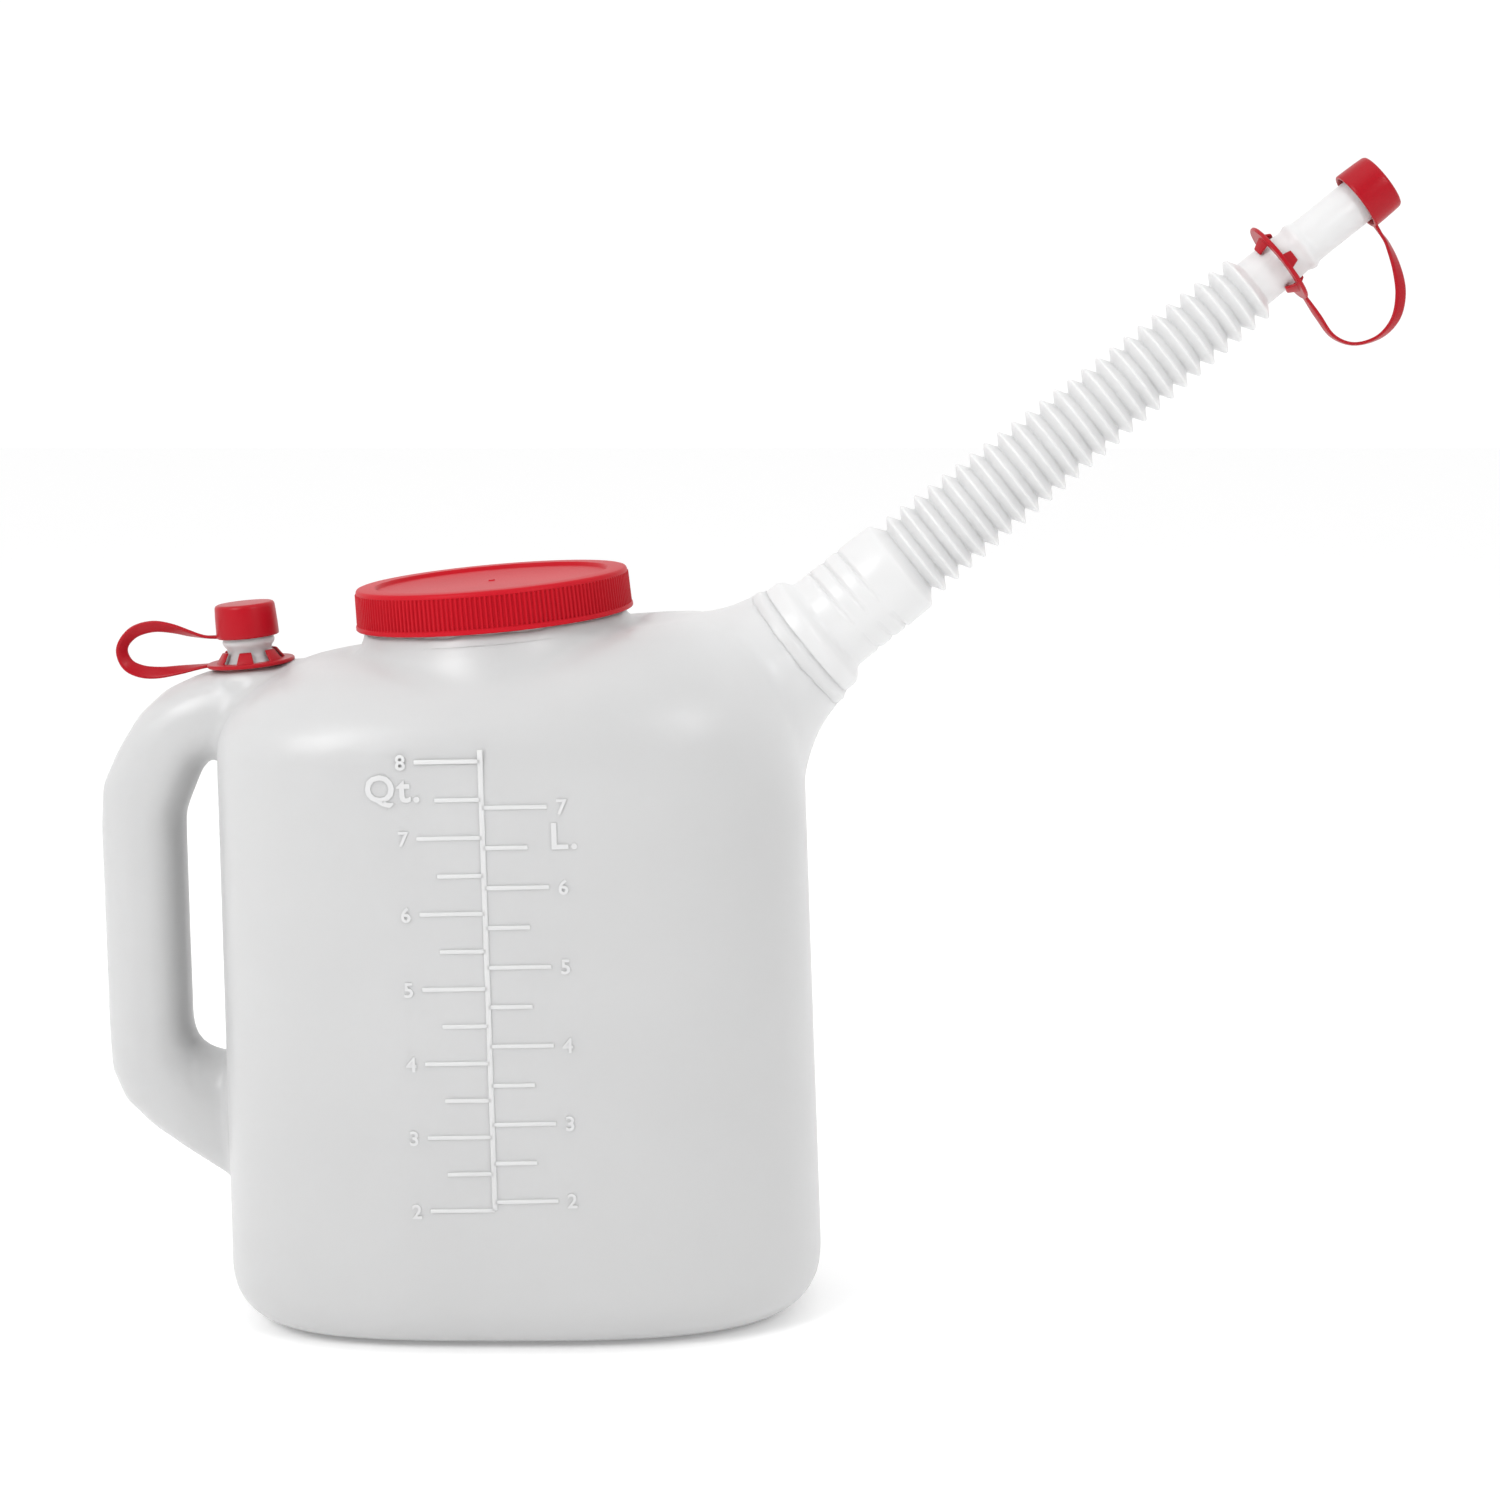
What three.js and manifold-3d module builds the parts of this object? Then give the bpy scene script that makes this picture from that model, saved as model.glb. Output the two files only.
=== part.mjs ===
// A fluid measuring jug: a blow-moulded body with an integral hollow handle, a wide screw lid, a tethered cap
// on an air vent, and a screw-on corrugated pouring spout with a second tethered cap.
// Millimetres, +Z up, +X towards the spout. The origin is the centre of the jug's flat base.
import * as THREE from 'three';
import { mergeVertices } from 'three/addons/utils/BufferGeometryUtils.js';
import Module from 'manifold-3d';

const wasm = await Module();
wasm.setup();

// ---- Driving dimensions ----
const GAP = 0.3; // between pieces that rest on each other
const WALL = 2; // of the jug

const jug = {
  handleSide: 122, // base centre to the wall by the handle
  spoutSide: 125.6, // base centre to the wall under the spout, at the base
  spoutSideDraft: 0.037, // how much that wall leans in per millimetre of height
  halfDepth: 75,
  handleSquareness: 3.4, // superellipse exponents of the plan's two ends
  spoutSquareness: 2.7,
  baseRadius: 24,
  shoulderStart: 238,
  shoulderInset: 46,
  shoulderHeight: 48,
  deckSlope: 0.11, // the deck rises towards the spout
};

const mouth = {
  place: [-10, 0, 291], // on the axis, at the lid's lower edge
  tilt: THREE.MathUtils.degToRad(-4.75),
  neckRadius: 52.6,
  rim: 11,
  depth: 16, // how far the neck reaches down into the shoulder
};

const lid = { bottomRadius: 56.8, topRadius: 55.4, height: 16.5, plate: 2.2, skirt: 2, recess: 1.5, recessRadius: 47.5 };
const liner = { radius: 52, thickness: 1.2 };

const vent = {
  place: [-110.7, 0, 271.6], // on the axis, at the underside of the strap ring
  tilt: THREE.MathUtils.degToRad(-5),
  boreRadius: 7.6,
  top: 22.5,
  capMouth: 11.6,
};

const spout = {
  place: [122.8, 0, 285.2], // on the axis, at the crest of the cuff's flange
  tilt: THREE.MathUtils.degToRad(90 - 38.9),
  neckRadius: 18.9,
  neckEnd: 38,
  collarRadius: 27.8,
  collarEnd: -8.6,
};

const cuff = { start: -7, radius: 21.1, flangeRadius: 26, wall: 1.5, shoulder: 40.9 };
const seal = { outer: 18.8, inner: 13, thickness: 2 };

const bellows = {
  segments: 5,
  foldsPerSegment: 5,
  pitch: 7.05,
  firstCrest: 50.8,
  firstRadius: 19.2,
  lastRadius: 14.6,
  foldHeight: 4.3,
  wall: 1.6, // measured across the tube, not across the sloping flank
  slit: 1.9, // left open on each side of the valley where two stretches hinge
};

const tip = { plainRadius: 10.2, tubeRadius: 9.4, wall: 1.4, beadRadius: 10.7, bead: 247.2, end: 286.2 };

const cap = { mouthRadius: 12.7, topRadius: 12.2, height: 13.7, wall: 1.5, plate: 1.5 };
const tipCapMouth = 275.1;
const ring = { outer: 17.85, inner: 12.3, thickness: 1.6, fingers: 6, fingerWidth: 6.5, fingerRise: 5 };
const tipRingPlace = 236;
const strap = { width: 5, thickness: 1.5 };

const milky = { color: 0xe9eaea, roughness: 0.4, metalness: 0 };
const red = { color: 0xc4161c, roughness: 0.35, metalness: 0 };
const foam = { color: 0xf2f2ee, roughness: 0.8, metalness: 0 };

// ---- Solids ----

// A closed geometry as a solid that can be joined and cut.
function solid(geometry) {
  const bare = geometry.clone();
  bare.deleteAttribute('normal');
  bare.deleteAttribute('uv');
  const merged = mergeVertices(bare, 1e-4);
  const corners = [];
  const index = merged.index.array;
  for (let i = 0; i < index.length; i += 3) {
    const [a, b, c] = [index[i], index[i + 1], index[i + 2]];
    if (a !== b && b !== c && c !== a) {
      corners.push(a, b, c);
    }
  }
  const vertProperties = new Float32Array(merged.attributes.position.array);
  return new wasm.Manifold(new wasm.Mesh({ numProp: 3, vertProperties, triVerts: new Uint32Array(corners) }));
}

function geometryOf(shape) {
  const mesh = shape.getMesh();
  const geometry = new THREE.BufferGeometry();
  geometry.setAttribute('position', new THREE.BufferAttribute(mesh.vertProperties, 3));
  geometry.setIndex(new THREE.BufferAttribute(mesh.triVerts, 1));
  return geometry;
}

function join(geometries) {
  return geometries.map(solid).reduce((whole, piece) => whole.add(piece));
}

// A profile of [radius, height] pairs turned about Z.
function turned(profile, segments = 32) {
  const points = profile.map(([radius, height]) => new THREE.Vector2(radius, height));
  return new THREE.LatheGeometry(points, segments).rotateX(Math.PI / 2);
}

// A wall between an outer and an inner profile, both listed upwards, turned about Z.
function turnedWall(outer, inner, segments = 32) {
  return turned([...outer, ...[...inner].reverse(), outer[0]], segments);
}

// Puts a geometry made about its own Z axis at a place, leaning by tilt towards +X.
function standing(geometry, { place, tilt }) {
  return geometry.rotateY(tilt).translate(...place);
}

// Closed rings of equal point counts, listed upwards, skinned and capped at both ends.
function lofted(rings) {
  const count = rings[0].length;
  const points = rings.flat();
  const index = [];
  for (let level = 0; level < rings.length - 1; level++) {
    for (let i = 0; i < count; i++) {
      const here = level * count + i;
      const next = level * count + ((i + 1) % count);
      index.push(here, next, here + count, next, next + count, here + count);
    }
  }
  const last = (rings.length - 1) * count;
  for (let i = 1; i < count - 1; i++) {
    index.push(0, i + 1, i);
    index.push(last, last + i, last + i + 1);
  }
  const geometry = new THREE.BufferGeometry().setFromPoints(points);
  geometry.setIndex(index);
  return geometry;
}

// ---- The jug ----

// The plan outline at one height, drawn in by inset and leaning with the deck by lean from 0 to 1.
function planRing(height, inset, lean) {
  const sides = 40;
  const ringPoints = [];
  for (let i = 0; i < sides; i++) {
    const angle = (2 * Math.PI * i) / sides;
    const [c, s] = [Math.cos(angle), Math.sin(angle)];
    const toSpout = c > 0;
    const power = 2 / (toSpout ? jug.spoutSquareness : jug.handleSquareness);
    const reach = toSpout ? jug.spoutSide - jug.spoutSideDraft * height : jug.handleSide;
    const x = Math.sign(c) * (reach - inset) * Math.abs(c) ** power;
    const y = Math.sign(s) * (jug.halfDepth - inset) * Math.abs(s) ** power;
    ringPoints.push(new THREE.Vector3(x, y, height + lean * jug.deckSlope * x));
  }
  return ringPoints;
}

// The jug's column from its rounded base edge to its shoulder, drawn in all over by wall.
function column(wall) {
  const rings = [];
  const baseSteps = 4;
  for (let i = 0; i <= baseSteps; i++) {
    const angle = (Math.PI / 2) * (i / baseSteps);
    const radius = jug.baseRadius - wall;
    rings.push(planRing(wall + radius * (1 - Math.cos(angle)), wall + radius * (1 - Math.sin(angle)), 0));
  }
  const shoulderSteps = 6;
  const topAngle = THREE.MathUtils.degToRad(84);
  for (let i = 0; i <= shoulderSteps; i++) {
    const angle = topAngle * (i / shoulderSteps);
    const inset = wall + (jug.shoulderInset - wall) * (1 - Math.cos(angle));
    rings.push(planRing(jug.shoulderStart + (jug.shoulderHeight - wall) * Math.sin(angle), inset, Math.sin(angle)));
  }
  return lofted(rings);
}

// Half the handle's size across the jug, and how square its section is.
const handleHalfDepth = 18.5;
const handleSquareness = 2.5;
// Opposite points of the handle's side view, its outer edge and the edge of its gap, as [x, z] from the lower
// root to the upper one. Both roots run past the column's wall so that they join it.
const handleEdges = [
  [[-106, 42], [-106, 100]],
  [[-123.7, 53], [-123.7, 106.5]],
  [[-140, 64], [-131, 107.5]],
  [[-156, 75.5], [-136.5, 110.5]],
  [[-168, 87.5], [-139.3, 115.5]],
  [[-173, 101], [-140, 122]],
  [[-173.7, 118], [-140, 130]],
  [[-173.7, 205], [-140.1, 196]],
  [[-171.9, 225], [-138.5, 210]],
  [[-165, 241], [-135.8, 220]],
  [[-154.5, 256.5], [-132, 228]],
  [[-142, 266], [-128, 231.5]],
  [[-127, 270.6], [-121, 232.6]],
  [[-108, 272.2], [-110, 232.6]],
  [[-90, 274], [-96, 232.6]],
];

function handle(wall) {
  const sides = 16;
  const rings = handleEdges.map(([[outerX, outerZ], [innerX, innerZ]]) => {
    const outer = new THREE.Vector3(outerX, 0, outerZ);
    const inner = new THREE.Vector3(innerX, 0, innerZ);
    const centre = outer.clone().add(inner).multiplyScalar(0.5);
    const outwards = outer.clone().sub(inner).normalize();
    const halfWidth = outer.distanceTo(inner) / 2 - wall;
    return Array.from({ length: sides }, (_, i) => {
      const angle = (2 * Math.PI * i) / sides;
      const [c, s] = [Math.cos(angle), Math.sin(angle)];
      const power = 2 / handleSquareness;
      const point = centre.clone().addScaledVector(outwards, halfWidth * Math.sign(c) * Math.abs(c) ** power);
      point.y = -(handleHalfDepth - wall) * Math.sign(s) * Math.abs(s) ** power;
      return point;
    });
  });
  return lofted(rings);
}

// The flare that carries the spout's neck, from deep in the column to the collar, drawn in by wall.
function spoutFlare(wall) {
  const profile = [
    [0, -66],
    [38, -62],
    [50, -50],
    [38.8, -36.3],
    [34.6, -30],
    [31.5, -24],
    [29.3, -17.5],
    [28.2, -12.8],
    [spout.collarRadius, spout.collarEnd],
  ];
  const drawnIn = profile.map(([radius, height]) => [Math.max(radius - wall, 0), height - wall]);
  return turned([...drawnIn, [0, spout.collarEnd - wall]]);
}

const neckBoreRadius = spout.neckRadius - WALL;
const spoutNeck = turned([[0, -30], [spout.neckRadius, -30], [spout.neckRadius, spout.neckEnd], [0, spout.neckEnd]]);
const spoutBore = turned([[0, -30], [neckBoreRadius, -30], [neckBoreRadius, 60], [0, 60]], 32);

const mouthNeck = turned([
  [0, -mouth.depth],
  [mouth.neckRadius + 6, -mouth.depth],
  [mouth.neckRadius, -5],
  [mouth.neckRadius, mouth.rim],
  [0, mouth.rim],
]);
const mouthBoreRadius = mouth.neckRadius - 3.5;
const mouthBore = turned([[0, -40], [mouthBoreRadius, -40], [mouthBoreRadius, 40], [0, 40]]);

const ventNeck = turned(
  [[0, -12], [13.5, -12], [11.9, 0], [9.4, 3.6], [8.9, 5.6], [10.4, 8.6], [10.5, 10.2], [10, 11.6], [10, vent.top], [0, vent.top]],
  28,
);
const ventBore = turned([[0, -20], [vent.boreRadius, -20], [vent.boreRadius, 40], [0, 40]], 24);
// The flat round seat that the strap ring turns on.
const seatRadius = ring.outer + 1;
const ventSeat = turned([[0, -GAP], [seatRadius, -GAP], [seatRadius, 12], [0, 12]], 32);

function makeJug() {
  const outside = join([column(0), handle(0)])
    .subtract(solid(standing(ventSeat, vent)))
    .add(solid(standing(spoutFlare(0), spout)))
    .add(solid(standing(spoutNeck, spout)))
    .add(solid(standing(mouthNeck, mouth)))
    .add(solid(standing(ventNeck, vent)));
  const inside = join([
    column(WALL),
    handle(WALL),
    standing(spoutFlare(WALL), spout),
    standing(spoutBore, spout),
    standing(mouthBore, mouth),
    standing(ventBore, vent),
  ]);
  return geometryOf(outside.subtract(inside));
}

// ---- Lid and liner, about the mouth's axis ----

function makeLid() {
  const { bottomRadius, topRadius, height, plate, skirt, recess, recessRadius } = lid;
  const under = height - recess - plate;
  return turned(
    [
      [0, under],
      [topRadius - skirt + 0.4, under],
      [bottomRadius - skirt, 0],
      [bottomRadius, 0],
      [bottomRadius, 1.5],
      [bottomRadius - 0.6, 1.8],
      [topRadius + 0.4, height - 2],
      [topRadius, height - 0.6],
      [topRadius - 0.8, height],
      [recessRadius + 0.8, height],
      [recessRadius, height - recess],
      [0, height - recess],
    ],
    48,
  );
}

function makeLiner() {
  const bottom = mouth.rim + GAP;
  const { radius, thickness } = liner;
  return turned([[0, bottom], [radius, bottom], [radius, bottom + thickness], [0, bottom + thickness]], 48);
}

// ---- Spout, about its own axis ----

function makeCuff() {
  const { start, radius, flangeRadius, wall, shoulder } = cuff;
  const end = bellows.firstCrest - bellows.pitch / 2 - bellows.slit;
  const outer = [
    [flangeRadius, start],
    [flangeRadius, -2.2],
    [flangeRadius - 0.5, 0],
    [flangeRadius - 2.5, 1.8],
    [radius + 0.3, 3.2],
    [radius, 9],
    [radius - 0.4, 42.4],
    [radius - 1, 43.4],
    [16.9, end],
  ];
  const inner = [
    [flangeRadius - wall, start],
    [flangeRadius - wall, -1.6],
    [radius - wall, 2.2],
    [radius - wall, shoulder],
    [14.3, shoulder + 0.6],
    [13.6, end],
  ];
  return turnedWall(outer, inner, 28);
}

function makeSeal() {
  const bottom = spout.neckEnd + GAP;
  const { outer, inner, thickness } = seal;
  return turned(
    [[inner, bottom], [outer, bottom], [outer, bottom + thickness], [inner, bottom + thickness], [inner, bottom]],
    28,
  );
}

// The crest radius of a fold, counted from 0 at the cuff.
function crestRadius(fold) {
  const share = fold / (bellows.segments * bellows.foldsPerSegment - 1);
  return THREE.MathUtils.lerp(bellows.firstRadius, bellows.lastRadius, share);
}

function makeBellows(segment) {
  const { foldsPerSegment, pitch, firstCrest, foldHeight, wall, slit } = bellows;
  const outer = [];
  const first = segment * foldsPerSegment;
  for (let fold = first; fold < first + foldsPerSegment; fold++) {
    const crest = firstCrest + fold * pitch;
    const radius = crestRadius(fold);
    const opens = fold === first;
    const closes = fold === first + foldsPerSegment - 1;
    const flankAtSlit = radius - foldHeight * (1 - slit / (pitch / 2));
    outer.push(opens ? [flankAtSlit, crest - pitch / 2 + slit] : [radius - foldHeight, crest - pitch / 2]);
    outer.push([radius, crest]);
    if (closes) {
      outer.push([flankAtSlit, crest + pitch / 2 - slit]);
    }
  }
  const inner = outer.map(([radius, height]) => [radius - wall, height]);
  return turnedWall(outer, inner, 16);
}

function makeTip() {
  const { plainRadius, tubeRadius, wall, beadRadius, bead, end } = tip;
  const folds = bellows.segments * bellows.foldsPerSegment;
  const start = bellows.firstCrest + (folds - 0.5) * bellows.pitch + bellows.slit;
  const outer = [
    [plainRadius, start],
    [plainRadius - 0.5, bead - 4],
    [beadRadius, bead - 1],
    [beadRadius, bead + 1],
    [tubeRadius, bead + 3.4],
    [tubeRadius, end],
  ];
  const inner = outer.map(([radius, height]) => [radius - wall, height]);
  return turnedWall(outer, inner, 24);
}

// ---- Tethered caps, each about the axis of its neck ----

function makeCap(mouthHeight) {
  const { mouthRadius, topRadius, height, wall, plate } = cap;
  const top = mouthHeight + height;
  return turned(
    [
      [0, top - plate],
      [topRadius - wall, top - plate],
      [mouthRadius - wall, mouthHeight],
      [mouthRadius, mouthHeight],
      [topRadius, top - 0.8],
      [topRadius - 0.8, top],
      [0, top],
    ],
    32,
  );
}

// A flat ring with leaning fingers that grip a neck of the given radius. rises says which way each one leans.
function makeRing(bottom, neckRadius, rises) {
  const { outer, inner, thickness, fingers, fingerWidth, fingerRise } = ring;
  const top = bottom + thickness;
  let whole = solid(turned([[inner, bottom], [outer, bottom], [outer, top], [inner, top], [inner, bottom]], 28));
  const root = inner + 1.5;
  const leaf = 1.3;
  const toe = neckRadius + GAP;
  for (let i = 0; i < fingers; i++) {
    const section = new THREE.Shape([
      new THREE.Vector2(root, 0),
      new THREE.Vector2(root + leaf, 0),
      new THREE.Vector2(toe + leaf, thickness / 2 + fingerRise),
      new THREE.Vector2(toe, thickness / 2 + fingerRise),
      new THREE.Vector2(toe + 1, thickness / 2 + fingerRise - 2.5),
    ]);
    const finger = new THREE.ExtrudeGeometry(section, { depth: fingerWidth, bevelEnabled: false });
    finger.rotateX(Math.PI / 2).translate(0, fingerWidth / 2, 0);
    if (rises[i % rises.length] < 0) {
      finger.rotateX(Math.PI);
    }
    finger.rotateZ((2 * Math.PI * (i + 0.5)) / fingers).translate(0, 0, bottom + thickness / 2);
    whole = whole.add(solid(finger));
  }
  return geometryOf(whole);
}

// A flat band along a curve in the XZ plane. twist turns its width about its run, in degrees, at each point.
function makeStrap(places, twists) {
  const curve = new THREE.CatmullRomCurve3(places.map(([x, z]) => new THREE.Vector3(x, 0, z)));
  const steps = 22;
  const rings = [];
  for (let i = 0; i <= steps; i++) {
    const share = i / steps;
    const centre = curve.getPoint(share);
    const run = curve.getTangent(share);
    const at = share * (twists.length - 1);
    const low = Math.min(Math.floor(at), twists.length - 2);
    const twist = THREE.MathUtils.degToRad(THREE.MathUtils.lerp(twists[low], twists[low + 1], at - low));
    const across = new THREE.Vector3(0, 1, 0).applyAxisAngle(run, twist);
    const through = new THREE.Vector3().crossVectors(run, across);
    const corner = (a, b) =>
      centre
        .clone()
        .addScaledVector(across, (a * strap.width) / 2)
        .addScaledVector(through, (b * strap.thickness) / 2);
    rings.push([corner(-1, -1), corner(1, -1), corner(1, 1), corner(-1, 1)]);
  }
  return lofted(rings);
}

// From the vent cap's skirt out over the handle and back to its ring, as [along +X, along the axis].
const ventStrapRoute = [
  [-(cap.mouthRadius + GAP + 0.4), 12.4],
  [-23, 15],
  [-31, 18.2],
  [-39.5, 19.6],
  [-48, 18],
  [-53, 13.3],
  [-54, 8.6],
  [-51.5, 3.6],
  [-46, 0.9],
  [-38, 0.2],
  [-29, 0.4],
  [-(ring.outer + GAP + 0.2), 0.8],
];
const ventStrapTwists = [0, 20, 45, 50, 50, 45, 30, 0];

// From the tip cap's skirt down, out and back to its ring.
const tipStrapRoute = [
  [cap.mouthRadius + GAP + 0.4, tipCapMouth + 0.9],
  [21.5, 275.4],
  [31.5, 272.3],
  [40.5, 267.5],
  [47, 260],
  [48.6, 250.5],
  [44.6, 241],
  [36.7, 236.2],
  [27, 236.3],
  [ring.outer + GAP + 0.2, tipRingPlace + ring.thickness / 2],
];
const tipStrapTwists = [0, 15, 30, 30, 25, 15, 0];

// ---- The assembly ----

function named(name, geometry, look) {
  const mesh = new THREE.Mesh(geometry, new THREE.MeshStandardMaterial(look));
  mesh.name = name;
  return mesh;
}

function stand({ place, tilt }, pieces) {
  const group = new THREE.Group();
  group.position.set(...place);
  group.rotation.y = tilt;
  group.add(...pieces);
  return group;
}

const folds = [];
for (let segment = 0; segment < bellows.segments; segment++) {
  folds.push(named(`bellows_${segment + 1}`, makeBellows(segment), milky));
}

const object = new THREE.Group();
object.add(named('jug_body', makeJug(), milky));
object.add(stand(mouth, [named('fill_lid', makeLid(), red), named('lid_liner', makeLiner(), foam)]));
object.add(
  stand(vent, [
    named('vent_cap', makeCap(vent.capMouth), red),
    named('vent_strap', makeStrap(ventStrapRoute, ventStrapTwists), red),
    named('vent_strap_ring', makeRing(0, 9.4, [1]), red),
  ]),
);
object.add(
  stand(spout, [
    named('spout_seal', makeSeal(), foam),
    named('spout_cuff', makeCuff(), milky),
    ...folds,
    named('spout_tip', makeTip(), milky),
    named('tip_cap', makeCap(tipCapMouth), red),
    named('tip_strap', makeStrap(tipStrapRoute, tipStrapTwists), red),
    named('tip_strap_ring', makeRing(tipRingPlace, tip.plainRadius, [1, -1]), red),
  ]),
);

export default object;
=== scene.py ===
# %% [markdown]
# A fluid jug in Blender: a milky blow-moulded body, a ribbed red screw lid, a corrugated spout and two small
# tethered caps. The design model already holds every size and every joint. This script loads it, then makes
# each visible piece again with a finer surface, in the same place, and gives it a moulded plastic.

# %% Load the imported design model
import math

import bmesh
import bpy
from mathutils import Matrix, Vector


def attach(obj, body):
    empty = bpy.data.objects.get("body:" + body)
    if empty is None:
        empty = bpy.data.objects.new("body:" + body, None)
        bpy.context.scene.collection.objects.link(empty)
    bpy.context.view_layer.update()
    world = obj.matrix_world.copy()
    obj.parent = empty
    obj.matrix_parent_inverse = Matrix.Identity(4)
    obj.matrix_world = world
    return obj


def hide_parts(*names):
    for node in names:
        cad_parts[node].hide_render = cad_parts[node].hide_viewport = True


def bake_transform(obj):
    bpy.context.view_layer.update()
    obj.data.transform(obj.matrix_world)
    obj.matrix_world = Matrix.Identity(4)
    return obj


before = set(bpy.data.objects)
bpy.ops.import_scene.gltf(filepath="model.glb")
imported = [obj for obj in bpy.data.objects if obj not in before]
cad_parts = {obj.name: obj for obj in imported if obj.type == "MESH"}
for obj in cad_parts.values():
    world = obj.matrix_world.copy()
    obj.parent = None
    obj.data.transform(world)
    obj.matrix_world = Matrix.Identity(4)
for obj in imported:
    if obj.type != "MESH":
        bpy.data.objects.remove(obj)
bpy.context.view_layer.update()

# %% [markdown]
# All sizes below are written in millimetres, as on a drawing, and Blender works in metres, so one factor
# turns them round. Each neck of the jug has an axis of its own. A seat is the matrix that stands a piece,
# modelled upright at the origin, on such an axis.

# %% Units and seats
MM = 0.001


def seat_of(place, lean):
    """A seat at a place in millimetres, leaning from upright towards the spout by lean degrees."""
    turn = Matrix.Rotation(math.radians(lean), 4, "Y")
    return Matrix.Translation(Vector(place) * MM) @ turn


MOUTH = seat_of((-10, 0, 291), -4.75)
VENT = seat_of((-110.7, 0, 271.6), -5)
SPOUT = seat_of((122.8, 0, 285.2), 51.1)
UPRIGHT = Matrix.Identity(4)

# %% [markdown]
# Blender's operators act on whatever is selected, and loading leaves the design nodes selected. So each piece
# starts from an empty selection, and ends with its place in its mesh and its object back at the origin.

# %% Starting and finishing a piece


def select_only(*objects):
    if bpy.context.object and bpy.context.object.mode != "OBJECT":
        bpy.ops.object.mode_set(mode="OBJECT")
    bpy.ops.object.select_all(action="DESELECT")
    for obj in objects:
        obj.select_set(True)
        bpy.context.view_layer.objects.active = obj


def named(name):
    """Gives the new active object and its mesh a name."""
    obj = bpy.context.object
    obj.name = obj.data.name = name
    return obj


def settle(obj, seat=UPRIGHT):
    """Stands an upright piece on its seat and puts the place into its mesh."""
    select_only(obj)
    obj.matrix_world = seat
    bpy.ops.object.transform_apply(location=True, rotation=True, scale=True)
    return obj


def smooth(obj, degrees=40):
    select_only(obj)
    bpy.ops.object.shade_smooth_by_angle(angle=math.radians(degrees))
    return obj


def apply_modifiers(obj):
    select_only(obj)
    for modifier in list(obj.modifiers):
        bpy.ops.object.modifier_apply(modifier=modifier.name)
    return obj


# %% [markdown]
# Most moulded pieces here are round: lids, caps, necks, the spout. The natural way to make them is on a
# lathe. One vertex is extruded from point to point along half the section, and the line is spun once round
# the axis.
# A section that returns to its first point makes a closed wall, inside and out, which is what a moulding is.

# %% A lathe


def turned(name, section, steps=96, seat=UPRIGHT):
    """Spins a section of (radius, height) points in millimetres round the upright axis, then seats it."""
    select_only()
    bpy.ops.mesh.primitive_circle_add(vertices=3, radius=MM)
    obj = named(name)
    bpy.ops.object.mode_set(mode="EDIT")
    bpy.ops.mesh.select_all(action="SELECT")
    bpy.ops.mesh.merge(type="CENTER")
    bpy.ops.transform.translate(value=(section[0][0] * MM, 0, section[0][1] * MM))
    for (radius, height), (next_radius, next_height) in zip(section, section[1:]):
        step = ((next_radius - radius) * MM, 0, (next_height - height) * MM)
        bpy.ops.mesh.extrude_vertices_move(TRANSFORM_OT_translate={"value": step})
    bpy.ops.mesh.select_all(action="SELECT")
    bpy.ops.mesh.spin(steps=steps, angle=2 * math.pi, center=(0, 0, 0), axis=(0, 0, 1))
    bpy.ops.mesh.select_all(action="SELECT")
    bpy.ops.mesh.remove_doubles(threshold=0.01 * MM)
    bpy.ops.mesh.normals_make_consistent(inside=False)
    bpy.ops.object.mode_set(mode="OBJECT")
    return settle(obj, seat)


# %% [markdown]
# Pieces whose section changes along a path, such as the handle, the jug's column or a strap, are grown
# instead: a flat face is extruded again and again, and after each extrusion its vertices are set on the next
# section.

# %% Growing a piece from section to section


def grown(name, rings, seat=UPRIGHT):
    """Extrudes a face through rings of equally many points, in millimetres, and closes both ends."""
    select_only()
    bpy.ops.mesh.primitive_circle_add(vertices=len(rings[0]), radius=1, fill_type="NGON")
    obj = named(name)
    bpy.ops.object.mode_set(mode="EDIT")
    shape = bmesh.from_edit_mesh(obj.data)
    shape.verts.ensure_lookup_table()
    front = list(shape.verts)
    for vertex, point in zip(front, rings[0]):
        vertex.co = Vector(point) * MM
    for ring in rings[1:]:
        place_of = {tuple(round(c, 7) for c in v.co): i for i, v in enumerate(front)}
        bpy.ops.mesh.extrude_region_move()
        shape = bmesh.from_edit_mesh(obj.data)
        fresh = [v for v in shape.verts if v.select]
        front = [None] * len(ring)
        for vertex in fresh:
            front[place_of[tuple(round(c, 7) for c in vertex.co)]] = vertex
        for vertex, point in zip(front, ring):
            vertex.co = Vector(point) * MM
    bmesh.update_edit_mesh(obj.data)
    bpy.ops.mesh.select_all(action="SELECT")
    bpy.ops.mesh.normals_make_consistent(inside=False)
    bpy.ops.object.mode_set(mode="OBJECT")
    return settle(obj, seat)


# %% [markdown]
# The camera stands back, a little above the spout, and looks slightly down through a long lens, so that the
# jug's verticals stay almost upright.

# %% Camera
bpy.ops.object.camera_add(location=(0.0945, -1.142, 0.4287), rotation=(math.radians(80.4), 0, 0))
camera = bpy.context.object
camera.data.lens = 67.2
camera.data.sensor_width = 36
bpy.context.scene.camera = camera

# %% [markdown]
# A white object on white ground needs its light shaped, or it turns into a flat patch. The room is white
# behind the jug and dimmer on the camera's side, so its edges are lit from behind, as milky plastic shows
# well, and its front stays a soft grey. Two soft lamps over the shoulders draw the broad highlights there,
# and a large, weak one fills from above. The standard view transform keeps the ground white and the red full.

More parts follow.
